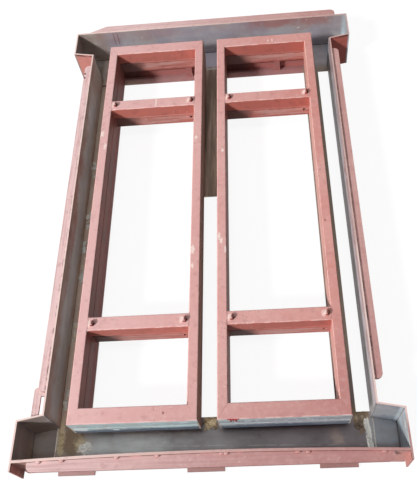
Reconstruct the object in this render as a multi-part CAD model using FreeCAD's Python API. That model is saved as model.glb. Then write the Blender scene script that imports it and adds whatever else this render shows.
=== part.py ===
import FreeCAD, Part
import math
import os

# Steel mould for casting a two-light concrete window frame.
# X runs across the mould, Y from the sill end to the head end, Z up.
# The origin is on the ground under the middle of the whole mould. All sizes are in millimetres.

# Driving dimensions: the two cores and the gaps that the concrete fills
CORE_WIDTH = 300.0
CORE_LENGTH = 1220.0
MULLION_GAP = 44.0
JAMB_GAP = 54.0
HEAD_GAP = 68.0
SILL_GAP = 74.0

# Core tubes, stacked in two tiers, and the flats of the rebate tier below them
STILE_WIDTH = 25.0
RAIL_WIDTH = 38.0
TIER_HEIGHT = 38.0
TUBE_WALL = 2.0
TUBE_CORNER_RADIUS = 3.0
TRANSOM_WIDTH = 36.0
SILL_TRANSOM_INSET = 247.0
HEAD_TRANSOM_INSET = 256.0
DRILL_DIAMETER = 9.0
DRILL_INSET = 15.0
DRILL_DEPTH = 14.0
REBATE_DEPTH = 10.0
REBATE_HEIGHT = 38.0
REBATE_FLAT_THICKNESS = 12.0
LEG_WIDTH = 20.0
LEFT_LEG_OFFSET = 92.0
RIGHT_LEG_OFFSET = 38.0

# Outer tray plates
FLOOR_THICKNESS = 4.0
SIDE_THICKNESS = 4.0
END_THICKNESS = 6.0
SILL_WALL_BOW = 9.0
HEAD_FLOOR_LIP = 16.0
MULLION_FLOOR_LENGTH = 476.0
RIGHT_STRIP_WIDTH = 21.0

# Tapered horns at the four corners
HORN_PROJECTION = 60.0
HORN_ROOT_LENGTH = 98.0
HORN_END_LENGTH = 86.0
FIN_PROJECTION = 18.0
FIN_HEIGHT = 84.0

# Stiffening bars under the rim, outside the walls
BAR_DROP = 6.0
HEAD_BAR_DROP = 1.5
BAR_THICKNESS = 6.0
SIDE_BAR_WIDTH = 20.0
SIDE_BAR_SILL_CLEARANCE = 58.0
SIDE_BAR_HEAD_CLEARANCE = 43.0
SILL_BAR_WIDTH = 20.0
HEAD_BAR_WIDTH = 26.0
END_BAR_CLEARANCE = 33.0
HEAD_BAR_TAPER = 58.0
BAR_CORNER_RADIUS = 14.0

# Slotted bracket at the sill's left horn, and foot lugs along the sill wall
BRACKET_STRAP_WIDTH = 17.0
BRACKET_SLOT_WIDTH = 14.0
BRACKET_SLOT_LENGTH = 46.0
BRACKET_FOOT_LENGTH = 21.0
BRACKET_THICKNESS = 5.0
BRACKET_CORNER_RADIUS = 8.0
LUG_WIDTH = 88.0
LUG_PROJECTION = 9.0
LUG_THICKNESS = 6.0
LUG_SPACING = 307.0
LUG_SHIFT = -15.0

# Bolts that tie the two tube tiers of each core together
BOLT_DIAMETER = 8.0
BOLT_HOLE_CLEARANCE = 1.0
BOLT_INSET = 10.5
BOLT_HEAD_FLATS = 13.0
BOLT_HEAD_HEIGHT = 8.0
BOLT_TAIL = 4.0
NUT_HEIGHT = 6.5
THREAD_CLEARANCE = 0.3

# Derived heights
REBATE_BASE = FLOOR_THICKNESS
LOWER_TIER_BASE = REBATE_BASE + REBATE_HEIGHT
UPPER_TIER_BASE = LOWER_TIER_BASE + TIER_HEIGHT
RIM = UPPER_TIER_BASE + TIER_HEIGHT
BAR_BASE = RIM - BAR_DROP - BAR_THICKNESS
HEAD_BAR_BASE = RIM - HEAD_BAR_DROP - BAR_THICKNESS
BRACKET_BASE = BAR_BASE - BRACKET_THICKNESS

# Derived places in plan
CORE_SILL_END = -CORE_LENGTH / 2
CORE_HEAD_END = CORE_LENGTH / 2
SILL_FACE = CORE_SILL_END - SILL_GAP
HEAD_FACE = CORE_HEAD_END + HEAD_GAP
SILL_OUTER = SILL_FACE - END_THICKNESS
HEAD_OUTER = HEAD_FACE + END_THICKNESS
TRAY_CENTRE = (SILL_FACE + HEAD_FACE) / 2
SIDE_FACE = MULLION_GAP / 2 + CORE_WIDTH + JAMB_GAP
SIDE_OUTER = SIDE_FACE + SIDE_THICKNESS
HORN_FACE = SIDE_FACE + HORN_PROJECTION
HORN_OUTER = HORN_FACE + SIDE_THICKNESS
HEAD_HORN_ROOT = HEAD_FACE - HORN_ROOT_LENGTH
HEAD_HORN_END = HEAD_FACE - HORN_END_LENGTH
SILL_HORN_ROOT = SILL_FACE + HORN_ROOT_LENGTH
SILL_HORN_END = SILL_FACE + HORN_END_LENGTH
CORE_CENTRES = {"left": -(MULLION_GAP + CORE_WIDTH) / 2, "right": (MULLION_GAP + CORE_WIDTH) / 2}
TRANSOM_CENTRES = {"sill": CORE_SILL_END + SILL_TRANSOM_INSET, "head": CORE_HEAD_END - HEAD_TRANSOM_INSET}
LEG_OFFSETS = {"left": LEFT_LEG_OFFSET, "right": RIGHT_LEG_OFFSET}
REBATE_INNER = REBATE_DEPTH + REBATE_FLAT_THICKNESS
SILL_FLOOR_EDGE = CORE_SILL_END + RAIL_WIDTH
HEAD_FLOOR_EDGE = CORE_HEAD_END - RAIL_WIDTH - HEAD_FLOOR_LIP

SIDES = {"left": -1, "right": 1}
ENDS = {"sill": -1, "head": 1}


def save(name, shape):
    """Write one named piece."""
    shape.exportStep("parts/" + name + ".step")


def point(x, y, z=0.0):
    return FreeCAD.Vector(x, y, z)


def prism(outline, base, height):
    """Straight prism on a closed plan outline."""
    corners = [point(x, y, base) for x, y in outline]
    face = Part.Face(Part.makePolygon(corners + corners[:1]))
    return face.extrude(point(0, 0, height))


def block(low, high):
    """Box between two opposite corners."""
    size = [b - a for a, b in zip(low, high)]
    return Part.makeBox(size[0], size[1], size[2], point(*low))


def flip(shape, side, end=1):
    """Copy of a shape made at the head's right corner, mirrored to the named side and end."""
    placed = shape.copy()
    if side < 0:
        placed = placed.mirror(point(0, 0), point(1, 0))
    if end < 0:
        placed = placed.mirror(point(0, TRAY_CENTRE), point(0, 1))
    return placed


def upright_edges(shape, places):
    """Vertical edges of a prism that stand at the given plan points."""
    found = []
    for edge in shape.Edges:
        first, last = edge.Vertexes[0].Point, edge.Vertexes[-1].Point
        upright = abs(first.z - last.z) > 1e-6
        if upright and any(math.hypot(first.x - x, first.y - y) < 1e-6 for x, y in places):
            found.append(edge)
    return found


def long_edges(shape, direction):
    """Edges of a tube that run along its length."""
    found = []
    for edge in shape.Edges:
        run = edge.Vertexes[-1].Point.sub(edge.Vertexes[0].Point)
        if run.Length > 1e-6 and abs(run.normalize().dot(direction)) > 0.999:
            found.append(edge)
    return found


def tube(outline, hollow, base, direction):
    """Rectangular tube on a plan outline, hollow through both ends, with rounded long edges."""
    solid = prism(outline, base, TIER_HEIGHT)
    solid = solid.makeFillet(TUBE_CORNER_RADIUS, long_edges(solid, direction))
    return solid.cut(prism(hollow, base + TUBE_WALL, TIER_HEIGHT - 2 * TUBE_WALL))


def stile(core_centre, side, base):
    """Long tube of a core, mitred to both rails; its outer face stands on the named side."""
    outer = core_centre + side * CORE_WIDTH / 2

    def ring(depth_outer, depth_inner):
        mitre_outer = RAIL_WIDTH * depth_outer / STILE_WIDTH
        mitre_inner = RAIL_WIDTH * depth_inner / STILE_WIDTH
        x_outer = outer - side * depth_outer
        x_inner = outer - side * depth_inner
        return [(x_outer, CORE_SILL_END + mitre_outer), (x_inner, CORE_SILL_END + mitre_inner),
                (x_inner, CORE_HEAD_END - mitre_inner), (x_outer, CORE_HEAD_END - mitre_outer)]

    return tube(ring(0.0, STILE_WIDTH), ring(TUBE_WALL, STILE_WIDTH - TUBE_WALL), base, point(0, 1))


def rail(core_centre, end, base):
    """End tube of a core, mitred to both stiles."""
    outer = CORE_HEAD_END if end > 0 else CORE_SILL_END

    def ring(depth_outer, depth_inner):
        half_outer = CORE_WIDTH / 2 - STILE_WIDTH * depth_outer / RAIL_WIDTH
        half_inner = CORE_WIDTH / 2 - STILE_WIDTH * depth_inner / RAIL_WIDTH
        y_outer = outer - end * depth_outer
        y_inner = outer - end * depth_inner
        return [(core_centre - half_outer, y_outer), (core_centre + half_outer, y_outer),
                (core_centre + half_inner, y_inner), (core_centre - half_inner, y_inner)]

    return tube(ring(0.0, RAIL_WIDTH), ring(TUBE_WALL, RAIL_WIDTH - TUBE_WALL), base, point(1, 0))


def bolt_places(core_centre):
    """Plan points of one core's bolts, two on each transom."""
    reach = CORE_WIDTH / 2 - STILE_WIDTH - BOLT_INSET
    return [(core_centre + side * reach, y) for y in TRANSOM_CENTRES.values() for side in SIDES.values()]


def transom(core_centre, centre_y, base):
    """Cross tube between the stiles, drilled for the bolts."""
    half = CORE_WIDTH / 2 - STILE_WIDTH

    def ring(inset):
        low, high = centre_y - TRANSOM_WIDTH / 2 + inset, centre_y + TRANSOM_WIDTH / 2 - inset
        return [(core_centre - half, low), (core_centre + half, low),
                (core_centre + half, high), (core_centre - half, high)]

    shape = tube(ring(0.0), ring(TUBE_WALL), base, point(1, 0))
    radius = (BOLT_DIAMETER + BOLT_HOLE_CLEARANCE) / 2
    for x, y in bolt_places(core_centre):
        if y == centre_y:
            shape = shape.cut(Part.makeCylinder(radius, TIER_HEIGHT, point(x, y, base)))
    return shape


def drilled_transom(core_centre, centre_y, base):
    """Lower cross tube, with a hole drilled in its sill face near the right stile."""
    x = core_centre + CORE_WIDTH / 2 - STILE_WIDTH - DRILL_INSET
    start = point(x, centre_y - TRANSOM_WIDTH / 2, base + TIER_HEIGHT - DRILL_DEPTH)
    drill = Part.makeCylinder(DRILL_DIAMETER / 2, TUBE_WALL, start, point(0, 1))
    return transom(core_centre, centre_y, base).cut(drill)


def rebate_side_flat(core_centre, side):
    """Flat on edge under a stile, set in from the core's face by the rebate."""
    near = core_centre + side * (CORE_WIDTH / 2 - REBATE_DEPTH)
    far = near - side * REBATE_FLAT_THICKNESS
    return block((min(near, far), CORE_SILL_END + REBATE_DEPTH, REBATE_BASE),
                 (max(near, far), CORE_HEAD_END - REBATE_DEPTH, LOWER_TIER_BASE))


def rebate_end_flat(core_centre, end):
    """Flat on edge under a rail, between the two side flats."""
    core_end = CORE_HEAD_END if end > 0 else CORE_SILL_END
    near = core_end - end * REBATE_DEPTH
    far = near - end * REBATE_FLAT_THICKNESS
    half = CORE_WIDTH / 2 - REBATE_INNER
    return block((core_centre - half, min(near, far), REBATE_BASE),
                 (core_centre + half, max(near, far), LOWER_TIER_BASE))


def head_leg(core_centre, offset):
    """Short leg under a core's head rail, behind the rebate flat."""
    x = core_centre + offset
    return block((x - LEG_WIDTH / 2, CORE_HEAD_END - RAIL_WIDTH, REBATE_BASE),
                 (x + LEG_WIDTH / 2, CORE_HEAD_END - REBATE_INNER, LOWER_TIER_BASE))


def hexagon(flats, height, x, y, base):
    """Upright hexagonal prism, measured across its flats."""
    radius = flats / math.sqrt(3)
    turns = [math.radians(60 * step) for step in range(6)]
    return prism([(x + radius * math.cos(a), y + radius * math.sin(a)) for a in turns], base, height)


def bolt(x, y):
    """Hexagon bolt from the top of the upper tier down through the nut."""
    tip = LOWER_TIER_BASE - NUT_HEIGHT - BOLT_TAIL
    shank = Part.makeCylinder(BOLT_DIAMETER / 2, RIM - tip, point(x, y, tip))
    return shank.fuse(hexagon(BOLT_HEAD_FLATS, BOLT_HEAD_HEIGHT, x, y, RIM)).removeSplitter()


def nut(x, y):
    """Hexagon nut under the lower tier."""
    base = LOWER_TIER_BASE - NUT_HEIGHT
    body = hexagon(BOLT_HEAD_FLATS, NUT_HEIGHT, x, y, base)
    radius = (BOLT_DIAMETER + THREAD_CLEARANCE) / 2
    return body.cut(Part.makeCylinder(radius, NUT_HEIGHT, point(x, y, base)))


def return_outer(x):
    """Y of the outer face of a head-end return plate at a given X."""
    rise = HEAD_HORN_END - HEAD_HORN_ROOT
    slant = SIDE_THICKNESS * math.hypot(HORN_PROJECTION, rise) / HORN_PROJECTION
    return HEAD_HORN_ROOT + rise * (x - SIDE_FACE) / HORN_PROJECTION - slant


def return_plate():
    """Slanted horn wall between a side wall and an end plate, at the head's right corner."""
    return prism([(SIDE_FACE, HEAD_HORN_ROOT), (HORN_FACE, HEAD_HORN_END),
                  (HORN_FACE, return_outer(HORN_FACE)), (SIDE_OUTER, return_outer(SIDE_OUTER)),
                  (SIDE_OUTER, HEAD_HORN_ROOT)], 0.0, RIM)


def end_plate():
    """Outer wall of a horn, at the head's right corner."""
    return block((HORN_FACE, return_outer(HORN_FACE), 0.0), (HORN_OUTER, HEAD_OUTER, RIM))


def finned_end_plate():
    """Outer wall of a horn whose upper part runs on as a fin past the end wall."""
    fin = block((HORN_FACE, HEAD_OUTER, RIM - FIN_HEIGHT), (HORN_OUTER, HEAD_OUTER + FIN_PROJECTION, RIM))
    return end_plate().fuse(fin).removeSplitter()


def side_wall():
    """Long wall between two horns, on the right."""
    return block((SIDE_FACE, SILL_HORN_ROOT, 0.0), (SIDE_OUTER, HEAD_HORN_ROOT, RIM))


def head_wall():
    """Straight wall across the head, between the end plates."""
    return block((-HORN_FACE, HEAD_FACE, 0.0), (HORN_FACE, HEAD_OUTER, RIM))


def bowed_edge(y):
    """Edge across the mould with the sill wall's inward bow; its ends are at the given Y."""
    return Part.Arc(point(-HORN_FACE, y), point(0, y + SILL_WALL_BOW), point(HORN_FACE, y)).toShape()


def straight_edges(outline):
    """Lines through a row of plan points."""
    ends = [point(x, y) for x, y in outline]
    return [Part.makeLine(a, b) for a, b in zip(ends, ends[1:])]


def slab(edges, height):
    """Plate on the ground with the given plan edges."""
    face = Part.Face(Part.Wire(Part.__sortEdges__(edges)))
    return face.extrude(point(0, 0, height))


def sill_wall():
    """Wall across the sill, between the end plates, bowed inwards."""
    ends = [straight_edges([(x, SILL_FACE), (x, SILL_OUTER)])[0] for x in (-HORN_FACE, HORN_FACE)]
    return slab([bowed_edge(SILL_FACE), bowed_edge(SILL_OUTER)] + ends, RIM)


def behind_sill_wall():
    """All that lies on the inner side of the sill wall's outer face."""
    sides = [(HORN_FACE, SILL_OUTER), (HORN_FACE, TRAY_CENTRE),
             (-HORN_FACE, TRAY_CENTRE), (-HORN_FACE, SILL_OUTER)]
    return slab([bowed_edge(SILL_OUTER)] + straight_edges(sides), RIM)


def floor_outline(face, horn_end, horn_root, inner_edge):
    """Plan points of an end floor from one horn's corner to the other, round its inner edge."""
    half = [(HORN_FACE, face), (HORN_FACE, horn_end), (SIDE_FACE, horn_root), (SIDE_FACE, inner_edge)]
    return half + [(-x, y) for x, y in reversed(half)]


def sill_floor():
    """Floor plate of the sill and its two horns, reaching under the cores' rails."""
    outline = floor_outline(SILL_FACE, SILL_HORN_END, SILL_HORN_ROOT, SILL_FLOOR_EDGE)
    return slab([bowed_edge(SILL_FACE)] + straight_edges(outline), FLOOR_THICKNESS)


def head_floor():
    """Floor plate of the head and its two horns, reaching past the cores' rails."""
    outline = floor_outline(HEAD_FACE, HEAD_HORN_END, HEAD_HORN_ROOT, HEAD_FLOOR_EDGE)
    return prism(outline, 0.0, FLOOR_THICKNESS)


def long_floor(low_x, high_x, start_y):
    """Floor strip that runs up to the head floor."""
    return block((low_x, start_y, 0.0), (high_x, HEAD_FLOOR_EDGE, FLOOR_THICKNESS))


def left_jamb_floor():
    """Floor plate of the left jamb, reaching under the left core's rebate flat."""
    inner = -(MULLION_GAP / 2 + CORE_WIDTH) + REBATE_INNER
    return long_floor(-SIDE_FACE, inner, SILL_FLOOR_EDGE)


def right_jamb_strip():
    """Strip under the right core's outer stile; the rest of the right jamb is open to the ground."""
    core_face = MULLION_GAP / 2 + CORE_WIDTH
    return long_floor(core_face - STILE_WIDTH, core_face + RIGHT_STRIP_WIDTH, SILL_FLOOR_EDGE)


def mullion_floor():
    """Floor plate of the mullion's head part; the rest of the mullion is open to the ground."""
    half = MULLION_GAP / 2 + REBATE_INNER
    return long_floor(-half, half, HEAD_FLOOR_EDGE - MULLION_FLOOR_LENGTH)


def rounded_flat(outline, rounded, radius, base, thickness):
    """Flat with some of its plan corners rounded."""
    flat = prism(outline, base, thickness)
    return flat.makeFillet(radius, upright_edges(flat, rounded))


def side_bar():
    """Flat welded outside the right wall under its rim, rounded at its outer corners."""
    low = SILL_HORN_ROOT + SIDE_BAR_SILL_CLEARANCE
    high = HEAD_HORN_ROOT - SIDE_BAR_HEAD_CLEARANCE
    outer = SIDE_OUTER + SIDE_BAR_WIDTH
    corners = [(outer, low), (outer, high)]
    return rounded_flat([(SIDE_OUTER, low)] + corners + [(SIDE_OUTER, high)], corners,
                        BAR_CORNER_RADIUS, BAR_BASE, BAR_THICKNESS)


def head_bar():
    """Flat welded outside the head wall, cut on a long slant at its left end."""
    half = HORN_FACE - END_BAR_CLEARANCE
    corner = (half, HEAD_OUTER + HEAD_BAR_WIDTH)
    slant = (HEAD_BAR_TAPER - half, HEAD_OUTER + HEAD_BAR_WIDTH)
    return rounded_flat([(half, HEAD_OUTER), corner, slant, (-half, HEAD_OUTER)], [corner],
                        BAR_CORNER_RADIUS, HEAD_BAR_BASE, BAR_THICKNESS)


def sill_bar():
    """Flat welded outside the sill wall, straight outside and fitted to the wall's bow."""
    half = HORN_FACE - END_BAR_CLEARANCE
    inner = SILL_OUTER + SILL_WALL_BOW
    corners = [(half, SILL_OUTER - SILL_BAR_WIDTH), (-half, SILL_OUTER - SILL_BAR_WIDTH)]
    straight = rounded_flat([(half, inner)] + corners + [(-half, inner)], corners,
                            BAR_CORNER_RADIUS, BAR_BASE, BAR_THICKNESS)
    return straight.cut(behind_sill_wall())


def slotted_bracket():
    """Flat under a side bar's end, welded to the wall and the horn, with a slot beside the wall."""
    strap = SIDE_OUTER + BRACKET_SLOT_WIDTH
    outer = strap + BRACKET_STRAP_WIDTH
    slot_end = return_outer(SIDE_OUTER) - BRACKET_SLOT_LENGTH
    tip = slot_end - BRACKET_FOOT_LENGTH
    corner = (outer, tip)
    outline = [(strap, return_outer(strap)), (outer, return_outer(outer)), corner,
               (SIDE_OUTER, tip), (SIDE_OUTER, slot_end), (strap, slot_end)]
    return rounded_flat(outline, [corner], BRACKET_CORNER_RADIUS, BRACKET_BASE, BRACKET_THICKNESS)


def foot_lugs():
    """Lugs on the ground along the outside of the sill wall."""
    lugs = []
    for step in (-1, 0, 1):
        x = LUG_SHIFT + step * LUG_SPACING
        lug = block((x - LUG_WIDTH / 2, SILL_OUTER - LUG_PROJECTION, 0.0),
                    (x + LUG_WIDTH / 2, SILL_OUTER + SILL_WALL_BOW, LUG_THICKNESS))
        lugs.append(lug.cut(behind_sill_wall()))
    return Part.makeCompound([solid for lug in lugs for solid in lug.Solids])


def save_tray():
    """Walls, floors, horns and stiffeners."""
    for side_name, side in SIDES.items():
        save(side_name + "_side_wall", flip(side_wall(), side))
        save(side_name + "_stiffening_bar", flip(side_bar(), side))
        save("sill_" + side_name + "_horn_end_plate", flip(finned_end_plate(), side, -1))
        save("head_" + side_name + "_horn_end_plate", flip(end_plate(), side))
        for end_name, end in ENDS.items():
            save(end_name + "_" + side_name + "_horn_return_plate", flip(return_plate(), side, end))
    save("sill_wall", sill_wall())
    save("head_wall", head_wall())
    save("sill_stiffening_bar", sill_bar())
    save("head_stiffening_bar", head_bar())
    save("sill_floor_plate", sill_floor())
    save("head_floor_plate", head_floor())
    save("left_jamb_floor_plate", left_jamb_floor())
    save("right_jamb_floor_strip", right_jamb_strip())
    save("mullion_floor_plate", mullion_floor())
    save("sill_left_slotted_bracket", flip(slotted_bracket(), -1, -1))
    save("foot_lugs", foot_lugs())


def save_core(name, centre):
    """Both tube tiers, the rebate flats and the leg of one core."""
    tiers = (("upper", UPPER_TIER_BASE, transom), ("lower", LOWER_TIER_BASE, drilled_transom))
    for tier, base, cross in tiers:
        label = name + "_core_" + tier + "_"
        for side_name, side in SIDES.items():
            save(label + side_name + "_stile", stile(centre, side, base))
        for end_name, end in ENDS.items():
            save(label + end_name + "_rail", rail(centre, end, base))
            save(label + end_name + "_transom", cross(centre, TRANSOM_CENTRES[end_name], base))
    for side_name, side in SIDES.items():
        save(name + "_core_rebate_" + side_name + "_flat", rebate_side_flat(centre, side))
    for end_name, end in ENDS.items():
        save(name + "_core_rebate_" + end_name + "_flat", rebate_end_flat(centre, end))
    save(name + "_core_head_leg", head_leg(centre, LEG_OFFSETS[name]))


def save_fasteners():
    """Bolts and nuts of both cores, each kind as one group."""
    places = [place for centre in CORE_CENTRES.values() for place in bolt_places(centre)]
    save("core_bolts", Part.makeCompound([bolt(x, y) for x, y in places]))
    save("core_nuts", Part.makeCompound([nut(x, y) for x, y in places]))


os.makedirs("parts", exist_ok=True)
save_tray()
for core_name, core_centre in CORE_CENTRES.items():
    save_core(core_name, core_centre)
save_fasteners()
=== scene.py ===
import math
import random

import bmesh
import bpy
from mathutils import Euler, Matrix, Vector


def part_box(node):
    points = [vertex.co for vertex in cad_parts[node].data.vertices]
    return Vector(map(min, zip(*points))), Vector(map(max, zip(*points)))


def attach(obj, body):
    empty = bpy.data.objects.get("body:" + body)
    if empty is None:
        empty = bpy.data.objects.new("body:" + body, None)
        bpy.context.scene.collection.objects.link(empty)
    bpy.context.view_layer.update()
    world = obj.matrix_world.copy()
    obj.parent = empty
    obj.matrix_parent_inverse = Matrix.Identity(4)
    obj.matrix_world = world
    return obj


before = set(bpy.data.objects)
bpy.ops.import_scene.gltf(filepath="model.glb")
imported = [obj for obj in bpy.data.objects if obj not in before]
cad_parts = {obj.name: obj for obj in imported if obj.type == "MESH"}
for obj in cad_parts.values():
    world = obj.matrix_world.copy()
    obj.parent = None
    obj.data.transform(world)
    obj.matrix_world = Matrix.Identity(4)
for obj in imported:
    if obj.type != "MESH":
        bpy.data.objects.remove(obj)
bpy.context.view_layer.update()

# Places read from the frame, in metres
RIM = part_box("left_side_wall")[1].z
FLOOR_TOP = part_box("sill_floor_plate")[1].z
SIDE_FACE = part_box("right_side_wall")[0].x
SIDE_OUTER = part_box("right_side_wall")[1].x
HORN_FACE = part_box("sill_wall")[1].x
SILL_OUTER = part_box("sill_wall")[0].y
HEAD_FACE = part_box("head_wall")[0].y
HEAD_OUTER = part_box("head_wall")[1].y
SILL_HORN_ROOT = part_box("left_side_wall")[0].y
HEAD_HORN_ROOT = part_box("left_side_wall")[1].y
CORE_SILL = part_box("left_core_upper_sill_rail")[0].y
CORE_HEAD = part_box("left_core_upper_head_rail")[1].y
CORE_INNER_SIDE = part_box("right_core_upper_left_stile")[0].x
CORE_OUTER_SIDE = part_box("right_core_upper_right_stile")[1].x
CORE_MIDDLE = (CORE_INNER_SIDE + CORE_OUTER_SIDE) / 2
CORE_HALF_WIDTH = (CORE_OUTER_SIDE - CORE_INNER_SIDE) / 2
STILE_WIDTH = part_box("right_core_upper_left_stile")[1].x - CORE_INNER_SIDE
RAIL_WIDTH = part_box("left_core_upper_sill_rail")[1].y - CORE_SILL
TIER_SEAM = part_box("left_core_upper_sill_rail")[0].z

SIDES = {"left": -1, "right": 1}
ENDS = ("sill", "head")
CORES = ("left", "right")

# From a stile's inner face to the bolts' centres, in metres
BOLT_INSET = 0.0105
# How deep marks reach into the walls and floors, and into the tops of the cores
MARK_DEPTH = 0.01
SCUFF_DEPTH = 0.004
# The side walls' colours give way to the end walls' between these distances from the middle
BLEND_START = 0.33
BLEND_END = 0.372
# A tide line on the sill floor: place at mid-width and slope
TIDE_PLACE = -0.6402
TIDE_SLOPE = 0.026
# Depth of the relief in the surfaces
DRIP_RELIEF = 0.0003
WELD_RELIEF = 0.0005
PAINT_RELIEF = 0.0006
STEEL_RELIEF = 0.0008
CEMENT_RELIEF = 0.0015
# Weld beads in the tray: half width, spacing of the ripples and the gap left at their ends
BEAD_WIDTH = 0.002
BEAD_PITCH = 0.004
BEAD_GAP = 0.004


def linear(value):
    """One channel of a colour, 0 to 1, in the linear scale that the shader takes."""
    if value <= 0.04045:
        return value / 12.92
    return ((value + 0.055) / 1.055) ** 2.4


def srgb(red, green, blue):
    """A colour as a paint card gives it, 0 to 255, for the shader."""
    return (*(linear(value / 255) for value in (red, green, blue)), 1.0)


# Paint, steel and dirt colours; some also stand for painted light and shade
PINK_LEFT = srgb(225, 178, 176)
PINK_RIGHT = srgb(205, 136, 127)
PINK_DUST = srgb(236, 200, 193)
LIT_PINK = srgb(255, 196, 184)
RED_FACE = srgb(212, 124, 110)
RED_LOWER = srgb(194, 120, 109)
RED_DULL = srgb(182, 110, 100)
RED_SHADE = srgb(134, 70, 62)
RED_DEEP = srgb(186, 92, 80)
SHADE_BROWN = srgb(98, 68, 60)
BAR_LEFT = srgb(230, 198, 197)
BAR_RIGHT = srgb(190, 142, 137)
RIM_LEFT = srgb(238, 212, 204)
RIM_RIGHT = srgb(194, 162, 155)
CHALK_AND_HIGHLIGHT = srgb(244, 224, 216)
MAUVE_GRIME = srgb(168, 116, 114)
FRONT_FACE_DARK = srgb(110, 68, 66)
LUG_DUST = srgb(160, 132, 128)
STEEL_TEAL = srgb(208, 230, 232)
STEEL_HAZE = srgb(192, 194, 202)
STEEL_BLUE = srgb(92, 106, 126)
STEEL_ICE = srgb(150, 162, 174)
LIT_END_PLATE_STEEL = srgb(206, 220, 228)
STEEL_LILAC = srgb(182, 176, 187)
LIT_WALL_PALE = srgb(248, 236, 242)
COOL_STEEL_AND_SHEEN = srgb(228, 230, 236)
WALL_BROWN = srgb(232, 212, 206)
STEEL_BROWN = srgb(208, 190, 178)
STEEL_GREY = srgb(204, 208, 207)
STEEL_DULL = srgb(166, 158, 164)
STEEL_DARK = srgb(120, 114, 114)
DARK_DIRT_AND_SHADE = srgb(84, 68, 62)
SILL_DARK = srgb(72, 54, 60)
CORE_SHADE_BROWN = srgb(168, 128, 118)
STEEL_TAN = srgb(190, 166, 148)
BROWN_SMEAR_AND_SHADE = srgb(128, 111, 100)
MULLION_BROWN = srgb(132, 112, 97)
HORN_SLATE = srgb(128, 142, 156)
FILM_GREY = srgb(204, 202, 196)
CEMENT_WHITE = srgb(246, 244, 236)
WHITE_WEAR_AND_GLINT = srgb(236, 245, 248)
CEMENT_TAN = srgb(206, 188, 152)
CEMENT_SHADE = srgb(150, 134, 112)
SPILL_BROWN = srgb(124, 102, 74)
RUST = srgb(122, 72, 52)
DIRT = srgb(66, 50, 46)
DARK_RUST_AND_SHADE = srgb(76, 30, 24)
DRIP_RED = srgb(186, 52, 54)
DRIP_DARK = srgb(150, 42, 42)
BLACK = srgb(0, 0, 0)


class Value:
    """A shader socket that takes part in arithmetic."""

    def __init__(self, paint, socket):
        self.paint = paint
        self.socket = socket

    def __add__(self, other):
        return self.paint.math("ADD", self, other)

    __radd__ = __add__

    def __sub__(self, other):
        return self.paint.math("SUBTRACT", self, other)

    def __rsub__(self, other):
        return self.paint.math("SUBTRACT", other, self)

    def __mul__(self, other):
        return self.paint.math("MULTIPLY", self, other)

    __rmul__ = __mul__

    def __truediv__(self, other):
        return self.paint.math("DIVIDE", self, other)

    def __abs__(self):
        return self.paint.math("ABSOLUTE", self, 0.0)


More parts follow.
